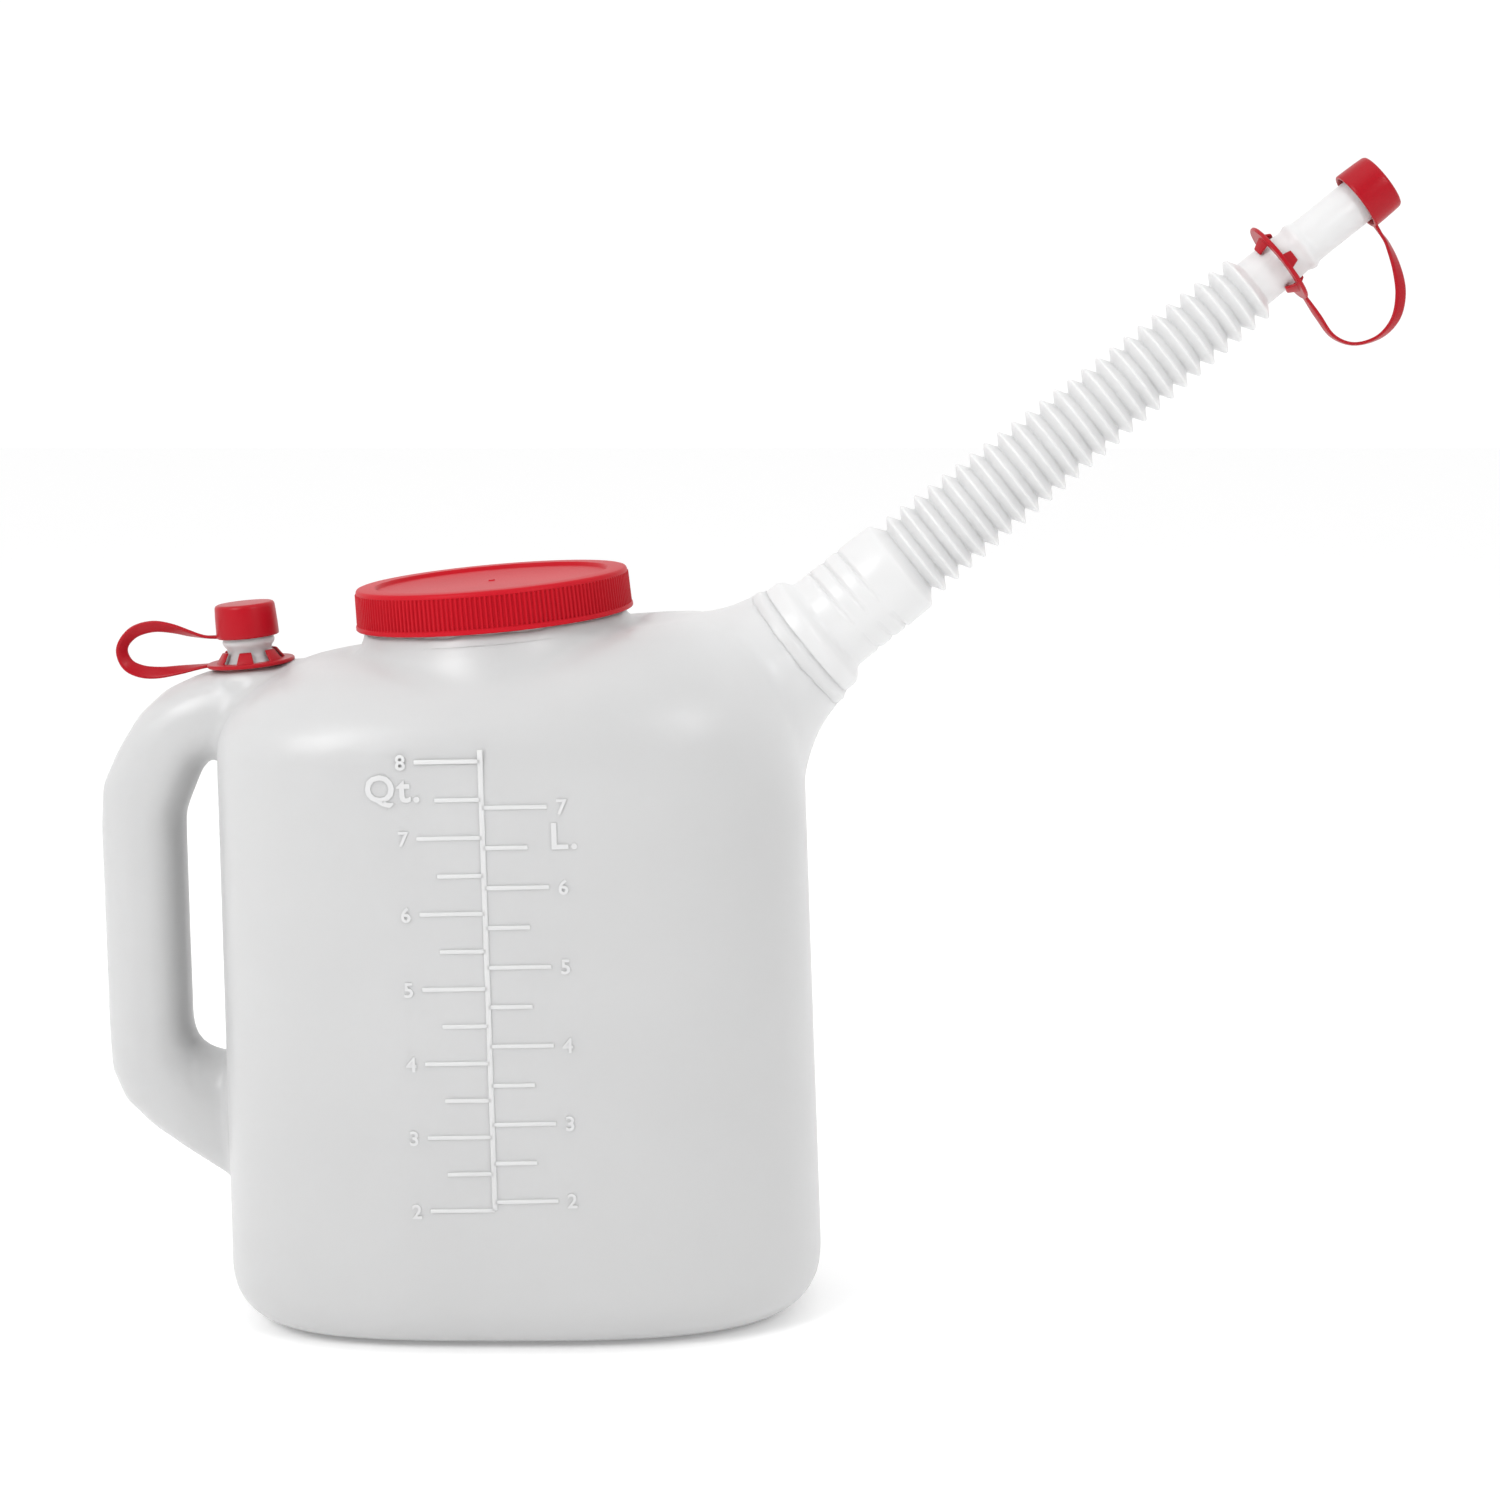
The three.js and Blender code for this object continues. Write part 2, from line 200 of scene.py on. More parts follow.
# %% Studio
bpy.context.scene.view_settings.view_transform = "Standard"
world = bpy.context.scene.world or bpy.data.worlds.new("studio")
bpy.context.scene.world = world
world.use_nodes = True
room = world.node_tree
background = room.nodes["Background"]
background.inputs["Color"].default_value = (1, 1, 1, 1)
direction = room.nodes.new("ShaderNodeTexCoord")
split = room.nodes.new("ShaderNodeSeparateXYZ")
brightness = room.nodes.new("ShaderNodeMapRange")
brightness.interpolation_type = "SMOOTHSTEP"
for socket, value in (("From Min", -1.0), ("From Max", -0.1), ("To Min", 0.2), ("To Max", 1.06)):
    brightness.inputs[socket].default_value = value
room.links.new(direction.outputs["Generated"], split.inputs["Vector"])
room.links.new(split.outputs["Y"], brightness.inputs["Value"])
room.links.new(brightness.outputs["Result"], background.inputs["Strength"])


def soft_lamp(name, place, aim, size, power):
    bpy.ops.object.light_add(type="AREA", location=place)
    lamp = bpy.context.object
    lamp.name = name
    lamp.data.shape = "RECTANGLE"
    lamp.data.size, lamp.data.size_y = size
    lamp.data.energy = power
    lamp.rotation_euler = (Vector(aim) - Vector(place)).to_track_quat("-Z", "Y").to_euler()
    return lamp


soft_lamp("lamp_left", (-0.8, -1.0, 1.05), (-0.07, 0, 0.25), (0.5, 0.5), 10)
soft_lamp("lamp_right", (0.84, -1.01, 0.95), (0.07, 0, 0.26), (0.3, 0.3), 4.2)
soft_lamp("lamp_top", (0.0, -0.45, 1.8), (0.02, 0, 0.25), (1.6, 1.2), 3)

select_only()
bpy.ops.mesh.primitive_plane_add(size=12)
floor = named("floor")

# %% [markdown]
# Natural polyethylene is milky: light enters the wall, scatters and leaves a few millimetres away. Subsurface
# scattering in the Principled shader does that. The wall's thickness is never even after blowing, so a large,
# faint noise shifts the colour, and a fine one roughens the surface like the blasted mould it was blown in.
# Towards the spout's neck the jug's colour is painted paler, the more the nearer the neck: painted light that
# lifts the shade falling round the collar, under the cuff. No piece gives light of its own, so the jug can be
# lit in any scene.

# %% Moulded plastics


def plastic(name, colour, roughness, scatter, radius, mottle, grain_size, grain, gloss=0.5, ior=1.5):
    """A moulded plastic. mottle is the share of darker patches, grain the depth of the mould's texture."""
    material = bpy.data.materials.new(name)
    material.use_nodes = True
    nodes, links = material.node_tree.nodes, material.node_tree.links
    shader = nodes["Principled BSDF"]
    shader.inputs["IOR"].default_value = ior
    shader.inputs["Specular IOR Level"].default_value = gloss
    shader.inputs["Subsurface Weight"].default_value = scatter
    shader.inputs["Subsurface Radius"].default_value = (1.0, 0.97, 0.94)
    shader.inputs["Subsurface Scale"].default_value = radius * MM

    place = nodes.new("ShaderNodeTexCoord")
    patches = nodes.new("ShaderNodeTexNoise")
    patches.inputs["Scale"].default_value = 14
    patches.inputs["Detail"].default_value = 3
    links.new(place.outputs["Object"], patches.inputs["Vector"])
    tint = nodes.new("ShaderNodeValToRGB")
    tint.color_ramp.elements[0].position = 0.3
    tint.color_ramp.elements[1].position = 0.7
    tint.color_ramp.elements[0].color = (*[c * (1 - mottle) for c in colour], 1)
    tint.color_ramp.elements[1].color = (*colour, 1)
    links.new(patches.outputs["Fac"], tint.inputs["Fac"])
    links.new(tint.outputs["Color"], shader.inputs["Base Color"])

    fine = nodes.new("ShaderNodeTexNoise")
    fine.inputs["Scale"].default_value = 1000 / grain_size
    fine.inputs["Detail"].default_value = 4
    links.new(place.outputs["Object"], fine.inputs["Vector"])
    wear = nodes.new("ShaderNodeMapRange")
    wear.inputs["To Min"].default_value = roughness - 0.05
    wear.inputs["To Max"].default_value = roughness + 0.07
    links.new(fine.outputs["Fac"], wear.inputs["Value"])
    links.new(wear.outputs["Result"], shader.inputs["Roughness"])
    bump = nodes.new("ShaderNodeBump")
    bump.inputs["Strength"].default_value = grain
    bump.inputs["Distance"].default_value = 0.15 * MM
    links.new(fine.outputs["Fac"], bump.inputs["Height"])
    links.new(bump.outputs["Normal"], shader.inputs["Normal"])
    return material


def painted_light_near(material, point, colour, full, none):
    """Paints light into a plastic, lightening it to a colour: wholly within full millimetres of a point, not
    at all past none.
    """
    nodes, links = material.node_tree.nodes, material.node_tree.links
    shader = nodes["Principled BSDF"]
    place = nodes.new("ShaderNodeTexCoord")
    gap = nodes.new("ShaderNodeVectorMath")
    gap.operation = "DISTANCE"
    gap.inputs[1].default_value = point
    links.new(place.outputs["Object"], gap.inputs[0])
    share = nodes.new("ShaderNodeMapRange")
    share.interpolation_type = "SMOOTHSTEP"
    for socket, value in (("From Min", full * MM), ("From Max", none * MM), ("To Min", 1), ("To Max", 0)):
        share.inputs[socket].default_value = value
    links.new(gap.outputs["Value"], share.inputs["Value"])
    mix = nodes.new("ShaderNodeMix")
    mix.data_type = "RGBA"
    links.new(share.outputs["Result"], mix.inputs[0])
    links.new(shader.inputs["Base Color"].links[0].from_socket, mix.inputs[6])
    mix.inputs[7].default_value = (*colour, 1)
    links.new(mix.outputs[2], shader.inputs["Base Color"])


milky = plastic("milky_polyethylene", (0.55, 0.55, 0.551), 0.36, 0.6, 5, 0.03, 1.2, 0.12)
# Painted light: the body is lightened round the spout's neck to lift the shade in the gap under the cuff.
painted_light_near(milky, SPOUT @ Vector((0, 0, -5 * MM)), (0.64, 0.64, 0.641), 28, 85)
scale_white = plastic("scale_polyethylene", (0.64, 0.64, 0.641), 0.42, 0.4, 2, 0.02, 1.2, 0.12)
spout_white = plastic("spout_polyethylene", (0.7, 0.7, 0.701), 0.34, 0.3, 2, 0.02, 1.0, 0.08)
red = plastic("red_polyethylene", (0.4, 0.004, 0.012), 0.34, 0.0, 0.8, 0.12, 0.7, 0.1, 0.35, 1.36)
lid_red = plastic("lid_polyethylene", (0.52, 0.009, 0.019), 0.4, 0.0, 0.8, 0.12, 0.7, 0.2, 0.15, 1.36)
liner_foam = plastic("liner_foam", (0.86, 0.86, 0.83), 0.75, 0.2, 1.5, 0.05, 0.5, 0.4, 0.3)
seal_rubber = plastic("seal_rubber", (0.02, 0.02, 0.02), 0.6, 0.0, 0.5, 0.2, 0.6, 0.25, 0.4)
studio_white = plastic("studio_floor", (0.93, 0.93, 0.93), 0.9, 0.0, 1, 0.005, 40, 0.0, 0.1)
floor_shader = studio_white.node_tree.nodes["Principled BSDF"]
floor_shader.inputs["Emission Color"].default_value = (1, 1, 1, 1)
floor_shader.inputs["Emission Strength"].default_value = 0.14
floor.data.materials.append(studio_white)


def finish_piece(obj, material, body=None):
    """Gives a piece its plastic and its slot, and lets it ride on a body."""
    obj.data.materials.clear()
    obj.data.materials.append(material)
    if body:
        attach(obj, body)
    triangles = sum(len(face.vertices) - 2 for face in obj.data.polygons)
    print(f"{obj.name}: {triangles} triangles")
    return obj


# %% [markdown]
# The jug's column is not a box and not an ellipse in plan. A superellipse, blunter by the handle and rounder
# under the spout, follows such a blow-moulded body well. The column rises straight from a rounded base edge,
# and its shoulder turns in to a deck that climbs towards the spout.

# %% The column's plan and rings
HANDLE_SIDE, SPOUT_SIDE, SPOUT_DRAFT, HALF_DEPTH = 122, 125.6, 0.037, 75
HANDLE_SQUARENESS, SPOUT_SQUARENESS = 3.4, 2.7
SHOULDER_START, SHOULDER_INSET, SHOULDER_HEIGHT, DECK_SLOPE = 238, 46, 46.2, 0.11
BASE_ROUND = 24
WALL = 1.8


def power_of(value, power):
    return math.copysign(abs(value) ** power, value)


def plan_ring(height, inset, lean, points=96):
    ring = []
    for i in range(points):
        angle = 2 * math.pi * i / points
        c, s = math.cos(angle), math.sin(angle)
        power = 2 / (SPOUT_SQUARENESS if c > 0 else HANDLE_SQUARENESS)
        reach = SPOUT_SIDE - SPOUT_DRAFT * height if c > 0 else HANDLE_SIDE
        x = (reach - inset) * power_of(c, power)
        y = (HALF_DEPTH - inset) * power_of(s, power)
        ring.append((x, y, height + lean * DECK_SLOPE * x))
    return ring


def column_rings():
    rings = []
    for i in range(9):
        angle = math.pi / 2 * i / 8
        rings.append(plan_ring(BASE_ROUND * (1 - math.cos(angle)), BASE_ROUND * (1 - math.sin(angle)), 0))
    for i in range(13):
        angle = math.radians(86) * i / 12
        inset = SHOULDER_INSET * (1 - math.cos(angle))
        rings.append(plan_ring(SHOULDER_START + SHOULDER_HEIGHT * math.sin(angle), inset, math.sin(angle)))
    return rings


# %% [markdown]
# The handle is a hollow arm. Its side view is given by pairs of opposite points, on its outer edge and on the
# edge of the finger gap, and each pair carries a rounded section. Both ends run into the column.

# %% The handle's rings
HANDLE_HALF_DEPTH, HANDLE_ROUNDNESS = 18.5, 2.4
HANDLE_EDGES = [
    ((-106, 42), (-106, 100)),
    ((-123.7, 53), (-123.7, 106.5)),
    ((-140, 64), (-131, 107.5)),
    ((-156, 75.5), (-136.5, 110.5)),
    ((-168, 87.5), (-139.3, 115.5)),
    ((-173.4, 101), (-140, 122)),
    ((-174, 118), (-140, 130)),
    ((-174, 160), (-140.1, 160)),
    ((-174, 206), (-140.1, 201)),
    ((-172.8, 222), (-139.9, 209.5)),
    ((-165.8, 237), (-136.2, 218.5)),
    ((-156.8, 251.2), (-132.4, 227.5)),
    ((-146, 261), (-129, 232)),
    ((-132, 267.5), (-122, 232.9)),
    ((-110, 271.5), (-110, 232.9)),
    ((-90, 274), (-96, 232.9)),
]


def handle_rings(points=40):
    rings = []
    for (outer_x, outer_z), (inner_x, inner_z) in HANDLE_EDGES:
        outer, inner = Vector((outer_x, 0, outer_z)), Vector((inner_x, 0, inner_z))
        centre, arm = (outer + inner) / 2, (outer - inner) / 2
        ring = []
        for i in range(points):
            angle = 2 * math.pi * i / points
            along = power_of(math.cos(angle), 2 / HANDLE_ROUNDNESS)
            across = power_of(math.sin(angle), 2 / HANDLE_ROUNDNESS)
            ring.append(tuple(centre + arm * along - Vector((0, HANDLE_HALF_DEPTH * across, 0))))
        rings.append(ring)
    return rings


# %% [markdown]
# A blow moulding has no sharp inner corners. So column, handle and the flares under the necks are only
# joined, and a voxel remesh melts them into one skin, which a smoothing pass then relaxes: every joint
# becomes a soft fillet, as the air would have left it. The skin is opened where the necks stand and given
# its wall inwards.

# %% The jug's shell
VOXEL = 2.6 * MM


def spout_flare():
    section = [
        (0, -66), (38, -62), (50, -50), (44, -43), (38.8, -36.3), (34.6, -30), (31.5, -24), (29.3, -17.5),
        (28.3, -13), (28, -10.6), (0, -10.6),
    ]
    return turned("spout_flare", section, 72, SPOUT)


def mouth_flare():
    section = [
        (0, -24), (61.5, -24), (60.5, -18.5), (58, -14), (55.8, -9), (54.3, -4), (53.4, 0), (53.2, 1), (0, 1),
    ]
    return turned("mouth_flare", section, 96, MOUTH)


def vent_flare():
    section = [(0, -20), (17, -20), (17.8, -3), (16.5, -1.2), (13, -0.6), (0, -0.6)]
    return turned("vent_flare", section, 48, VENT)


def open_at(obj, seat, radius, lowest):
    """Deletes the faces of a skin inside a radius round a neck's axis, above a height, in millimetres."""
    select_only(obj)
    bpy.ops.object.mode_set(mode="EDIT")
    bpy.ops.mesh.select_mode(type="FACE")
    bpy.ops.mesh.select_all(action="DESELECT")
    shape = bmesh.from_edit_mesh(obj.data)
    upright = seat.inverted()
    for face in shape.faces:
        centre = upright @ face.calc_center_median()
        near = math.hypot(centre.x, centre.y) < radius * MM
        face.select_set(near and centre.z > lowest * MM)
    bmesh.update_edit_mesh(obj.data)
    bpy.ops.mesh.delete(type="FACE")
    bpy.ops.mesh.select_mode(type="VERT")
    bpy.ops.object.mode_set(mode="OBJECT")


def make_jug_shell():
    parts = [
        grown("jug_shell", column_rings()),
        grown("handle_arm", handle_rings()),
        spout_flare(),
        mouth_flare(),
        vent_flare(),
    ]
    select_only(*reversed(parts))
    bpy.ops.object.join()
    shell = bpy.context.object
    remesh = shell.modifiers.new("melt", "REMESH")
    remesh.mode = "VOXEL"
    remesh.voxel_size = VOXEL
    relax = shell.modifiers.new("relax", "SMOOTH")
    relax.factor = 0.5
    relax.iterations = 6
    apply_modifiers(shell)
    open_at(shell, MOUTH, 51, -12)
    open_at(shell, SPOUT, 22, -16)
    open_at(shell, VENT, 10.5, -6)
    wall = shell.modifiers.new("wall", "SOLIDIFY")
    wall.thickness = WALL * MM
    wall.offset = -1
    apply_modifiers(shell)
    select_only(shell)
    bpy.ops.object.shade_smooth()
    return shell


jug_shell = make_jug_shell()
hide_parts("jug_body")
finish_piece(jug_shell, milky, "jug")

# %% [markdown]
# The necks are crisp where the shell is soft, because the mould's steel pinched them and the thread has to
# fit. They are turned, wall and all, and their feet run under the shell's skin. A neck's thread is a small
# rounded rib grown along a helix.

# %% The three necks
MOUTH_RADIUS, MOUTH_RIM = 52.6, 11
SPOUT_NECK_RADIUS, SPOUT_NECK_END, SPOUT_LEAD = 18.9, 38, 7.1


def helix_thread(name, seat, radius, start, lead, turns, depth, width):
    """A rib of the given depth and width, wound on a neck, that fades out at both ends."""
    rings = []
    steps = int(turns * 48)
    for i in range(steps + 1):
        angle = 2 * math.pi * turns * i / steps
        fade = min(1, i / 5, (steps - i) / 5)
        height = start + lead * angle / (2 * math.pi)
        out = Vector((math.cos(angle), math.sin(angle), 0))
        crest = depth * fade + 0.05
        half = width / 2
        ring = []
        for reach, rise in ((-0.4, -half), (crest, -half * 0.4), (crest, half * 0.4), (-0.4, half)):
            ring.append(tuple(out * (radius + reach) + Vector((0, 0, height + rise))))
        rings.append(ring)
    return smooth(grown(name, rings, seat), 60)


def neck(name, seat, outer, inner):
    section = [*outer, *reversed(inner), outer[0]]
    piece = smooth(turned(name, section, 112, seat))
    return finish_piece(piece, milky, "jug")


neck(
    "mouth_neck",
    MOUTH,
    [
        (54.6, -5), (53.2, -2), (MOUTH_RADIUS, 0.5), (MOUTH_RADIUS, MOUTH_RIM - 0.6),
        (MOUTH_RADIUS - 0.5, MOUTH_RIM),
    ],
    [(50.4, -5), (49.6, -1), (49.1, 3), (49.1, MOUTH_RIM - 0.4), (49.5, MOUTH_RIM)],
)
neck(
    "spout_neck",
    SPOUT,
    [
        (27.6, -14), (28.06, -12.4), (27.95, -9.4), (27.6, -8.7), (27.1, -8.1), (26.6, -7.4), (26.4, -6.8),
        (26.28, -6.6), (26.2, -6.8), (26.2, -7.15), (19.4, -7.15), (SPOUT_NECK_RADIUS, -6.6),
        (SPOUT_NECK_RADIUS, SPOUT_NECK_END - 0.5), (SPOUT_NECK_RADIUS - 0.4, SPOUT_NECK_END),
    ],
    [
        (25.8, -14), (25.9, -11), (18, -10.4), (16.9, -9.4), (16.9, SPOUT_NECK_END - 0.4),
        (17.3, SPOUT_NECK_END),
    ],
)
neck(
    "vent_neck",
    VENT,
    [
        (14.4, -2), (13, -0.7), (11.9, 0.1), (10.8, 1.2), (9.9, 2.6), (9.2, 4.2), (8.9, 5.6), (9.2, 7),
        (10, 8.1), (10.5, 9), (10.6, 9.8), (10.4, 10.6), (10, 11.4), (10, 22), (9.6, 22.5),
    ],
    [(12.4, -2.4), (10, -0.5), (8, 1), (7.6, 3), (7.6, 22.1), (8, 22.5)],
)
for thread in (
    helix_thread("mouth_thread", MOUTH, MOUTH_RADIUS, 2.4, 4.2, 1.4, 0.5, 2.2),
    helix_thread("spout_neck_thread", SPOUT, SPOUT_NECK_RADIUS, 8, SPOUT_LEAD, 2.4, 0.35, 2.2),
):
    finish_piece(thread, milky, "jug")

# %% [markdown]
# The measuring scale is cut into the mould, so on the jug it stands proud by a few tenths of a millimetre.
# The lines start as cubes, the figures as text, and both are bent onto the slightly bowed front wall.

# %% The measuring scale
RULE_X = -5.7
SCALE_LEAN = -1.0
RAISED = 0.4
QUART_RISE, LITRE_RISE = 30.2, 31.9
QUART_TWO, LITRE_TWO = 62.7, 66.1
RULE_HEIGHT, RULE_WIDTH, MARK_WIDTH = 6.15 * QUART_RISE, 2.1, 1.7
FIGURE_HEIGHT, FIGURE_DROP = 5.9, 2.9


def front_of(x, z):
    """How far forward the front wall stands at x and z, in millimetres."""
    reach = SPOUT_SIDE - SPOUT_DRAFT * z if x > 0 else HANDLE_SIDE
    squareness = SPOUT_SQUARENESS if x > 0 else HANDLE_SQUARENESS
    return HALF_DEPTH * (1 - (abs(x) / reach) ** squareness) ** (1 / squareness)


def bend_onto_front(obj):
    """Moves a flat piece, drawn in the XZ plane with its face at y 0, onto the front wall."""
    for vertex in obj.data.vertices:
        x, y, z = vertex.co / MM
        vertex.co.y = (y - front_of(x, z)) * MM
    return obj


def settle_mark(obj):
    """Puts a mark's own place into its mesh."""
    select_only(obj)
    bpy.ops.object.transform_apply(location=True, rotation=True, scale=True)


def scale_line(x, z, width, height):
    """A raised line, centred at x and z."""
    select_only()
    bpy.ops.mesh.primitive_cube_add(size=1)
    line = named("scale_line")
    line.scale = Vector((width, 2 * RAISED, height)) * MM
    line.location = Vector((x, 0, z)) * MM
    settle_mark(line)
    bpy.ops.object.mode_set(mode="EDIT")
    bpy.ops.mesh.select_all(action="SELECT")
    bpy.ops.mesh.bevel(offset=0.3 * MM, segments=2, affect="EDGES")
    bpy.ops.object.mode_set(mode="OBJECT")
    return line


def scale_text(words, x, z, height):
    """Raised figures, whose left end and foot are at x and z."""
    select_only()
    bpy.ops.object.text_add(rotation=(math.pi / 2, 0, 0))
    text = bpy.context.object
    text.data.body = words
    text.data.size = height * MM / 0.72
    text.data.extrude = RAISED * MM
    text.data.resolution_u = 3
    text.data.offset = height * 0.03 * MM
    text.data.space_character = 1.12
    text.location = Vector((x, 0, z)) * MM
    select_only(text)
    bpy.ops.object.convert(target="MESH")
    figure = bpy.context.object
    settle_mark(figure)
    return figure


def scale_side(side, foot, rise, halves, long, short, gap):
    """Half and whole marks on one side of the rule, -1 or 1, with a figure a gap away from each whole one."""
    marks = []
    for half in range(halves):
        z = foot + rise * half / 2
        whole = half % 2 == 0
        width = long if whole else short
        marks.append(scale_line(RULE_X + side * width / 2, z, width, MARK_WIDTH))
        if whole:
            figure = str(2 + half // 2)
            start = RULE_X + side * (width + gap)
            marks.append(scale_text(figure, start, z - FIGURE_DROP, FIGURE_HEIGHT))
    return marks


def make_scale():
    marks = [scale_line(RULE_X, QUART_TWO + RULE_HEIGHT / 2, RULE_WIDTH, RULE_HEIGHT)]
    marks += scale_side(-1, QUART_TWO, QUART_RISE, 13, 25.7, 18.3, 7.4)
    marks += scale_side(1, LITRE_TWO, LITRE_RISE, 11, 25.4, 17.5, 3.4)
    marks.append(scale_text("Qt.", RULE_X - 45.5, 228.5, 10.6))
    marks.append(scale_text("L.", RULE_X + 26, 209, 10.4))
    select_only(*reversed(marks))
    bpy.ops.object.join()
    scale = named("measuring_scale")
    scale.data.transform(Matrix.Rotation(math.radians(SCALE_LEAN), 4, "Y"))
    return smooth(bend_onto_front(scale), 50)


finish_piece(make_scale(), scale_white, "jug")

# %% [markdown]
# The lid's skirt has a fine grip of 180 ribs. A turned lid could not have them, so the lid is grown from the
# middle of its top outwards, down the skirt and back in under the top, from rings with four points to a rib.
# On the skirt each ring's radius swings in and out once a rib, and the bands above and below are plain.

# %% The fill lid
LID_RIBS = 180
LID_POINTS = 4 * LID_RIBS


def lid_ring(radius, height, rib=0.0):
    ring = []
    for i in range(LID_POINTS):
        angle = 2 * math.pi * i / LID_POINTS
        swing = rib if i % 4 in (0, 1) else -rib
        ring.append(((radius + swing) * math.cos(angle), (radius + swing) * math.sin(angle), height))
    return ring


def make_lid():
    rib = 0.42
    profile = [
        (1.2, 15.45, 0), (1.5, 15.0, 0), (46.4, 15.0, 0), (46.9, 15.15, 0), (47.2, 15.6, 0), (47.4, 16.2, 0),
        (47.8, 16.5, 0), (54.4, 16.5, 0), (55.0, 16.3, 0), (55.4, 15.8, 0), (55.6, 15.1, 0), (55.65, 14.6, 0),
        (55.6, 14.3, rib), (56.0, 2.2, rib), (56.35, 1.9, 0), (56.75, 1.6, 0), (56.8, 1.2, 0), (56.8, 0.3, 0),
        (56.5, 0, 0), (54.8, 0, 0), (54.6, 0.6, 0), (54, 12.2, 0), (53.4, 12.8, 0), (1.2, 12.8, 0),
    ]
    return smooth(grown("lid_moulding", [lid_ring(*step) for step in profile], MOUTH), 35)


lid = make_lid()
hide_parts("fill_lid")
finish_piece(lid, lid_red, "lid")

liner_section = [(0, 11.3), (51.6, 11.3), (52, 11.6), (52, 12.2), (51.7, 12.5), (0, 12.5)]
liner = smooth(turned("liner_disc", liner_section, 96, MOUTH))
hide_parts("lid_liner")
finish_piece(liner, liner_foam, "liner")

# %% [markdown]
# The spout is one blown piece, and it bends. So its skin is made in six lengths, each turned from one run of
# folds and each spanning one joint of the design. The lengths meet at the bottom of a valley, where the
# wall is narrowest and a seam can't be seen.

# %% Spout: sections
PITCH, FIRST_CREST, FOLD_HEIGHT = 7.05, 50.8, 4.4
FIRST_RADIUS, LAST_RADIUS = 19.2, 14.6
FOLDS = 25
BELLOWS_WALL = 1.3


def crest_radius(fold):
    return FIRST_RADIUS + (LAST_RADIUS - FIRST_RADIUS) * fold / (FOLDS - 1)


def fold_section(fold, first=False, last=False):
    """Outer points of one fold, from the valley before it to the valley after it."""
    crest = FIRST_CREST + fold * PITCH
    radius = crest_radius(fold)
    low, half = radius - FOLD_HEIGHT, PITCH / 2
    points = [
        (low, crest - half), (low + 0.12, crest - half + 0.3), (low + 0.5, crest - half + 0.62),
        (radius - 0.8, crest - 0.95), (radius - 0.3, crest - 0.62), (radius, crest - 0.22),
        (radius, crest + 0.22), (radius - 0.3, crest + 0.62), (radius - 0.8, crest + 0.95),
        (low + 0.5, crest + half - 0.62), (low + 0.12, crest + half - 0.3),
    ]
    if last:
        points.append((low, crest + half))
    return points if first else points


def walled(outer, wall):
    """Closes an outer section with its inner side, a wall's thickness nearer the axis."""
    inner = [(radius - wall, height) for radius, height in reversed(outer)]
    return [*outer, *inner, outer[0]]


def folds_section(first, last):
    outer = []
    for fold in range(first, last + 1):
        outer += fold_section(fold, last=fold == last)
    return outer


# %% [markdown]
# The cuff screws onto the jug's neck. Its flange is a rolled shoulder, and the thread shows through the thin
# wall as shallow helical grooves, broken off near the mould's parting line. The grooves are pressed in after
# turning, by moving the vertices of the thread zone inwards.

# %% Spout: the cuff and its first folds
CUFF_RADIUS = 21.1
GROOVE_START, GROOVE_WIDTH, GROOVE_BREAK, GROOVE_GAP = 11.9, 0.95, 110, 6
HINGE = [FIRST_CREST - PITCH / 2 + 5 * PITCH * i for i in range(6)]


def cuff_outer():
    thread_zone = [(CUFF_RADIUS, 5 + 0.4 * i) for i in range(62)]
    return [
        (24.6, -7), (25.9, -7), (26.08, -6.8), (26.15, -4.5), (26.05, -2.6), (25.9, -1.2), (25.4, -0.1),
        (24.6, 0.8), (23.4, 1.8), (22.3, 2.6), (21.5, 3.5), (21.2, 4.3), *thread_zone, (21.15, 30),
        (21.1, 34), (21.0, 38), (20.85, 41.6), (20.6, 42.5), (20.1, 43.15), (18.2, 44.5), (15.6, 46.4),
    ]


def press_thread_grooves(obj):
    """Presses the helical grooves into a cuff that still stands upright."""
    for vertex in obj.data.vertices:
        x, y, z = vertex.co / MM
        radius = math.hypot(x, y)
        if not 5 < z < 29.5 or radius < 20.5:
            continue
        around = (math.degrees(math.atan2(y, x)) - 180) % 360
        run = (z - GROOVE_START - SPOUT_LEAD * around / 360) / SPOUT_LEAD
        if not -0.5 < run < 2.5:
            continue
        offset = (run - round(run)) * SPOUT_LEAD
        past_break = abs(around % 180 - GROOVE_BREAK)
        from_gap = min(past_break, 180 - past_break) - GROOVE_GAP
        reach = max(0.0, min(1.0, from_gap / 60))
        depth = (0.35 + 0.75 * reach) * min(1.0, max(0.0, from_gap / 5))
        depth *= 0.6 if around > 180 else 1
        scale = (radius - depth * math.exp(-((offset / GROOVE_WIDTH) ** 2))) / radius
        vertex.co.x *= scale
        vertex.co.y *= scale


def make_cuff():
    folds = folds_section(0, 1)
    outer = [*cuff_outer(), *folds]
    inner = [(radius - BELLOWS_WALL, height) for radius, height in folds]
    bore = [(24.4, -7), (24.6, -2), (21, 1.6), (19.75, 4), (19.75, 40.5), (18.6, 41.6), (14.2, 45.4)]
    section = [*outer, *reversed(inner), *reversed(bore), outer[0]]
    cuff = turned("spout_cuff_moulding", section, 216)
    press_thread_grooves(cuff)
    return smooth(settle(cuff, SPOUT), 30)


cuff = make_cuff()
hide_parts("spout_cuff")
finish_piece(cuff, spout_white)
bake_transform(cuff)

# %% Spout: the runs of folds
for i in range(1, 5):
    first = 5 * i - 3
    folds = turned(f"spout_folds_{i}", walled(folds_section(first, first + 4), BELLOWS_WALL), 112, SPOUT)
    smooth(folds, 30)
    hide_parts(f"bellows_{i}")
    finish_piece(folds, spout_white)
    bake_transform(folds)

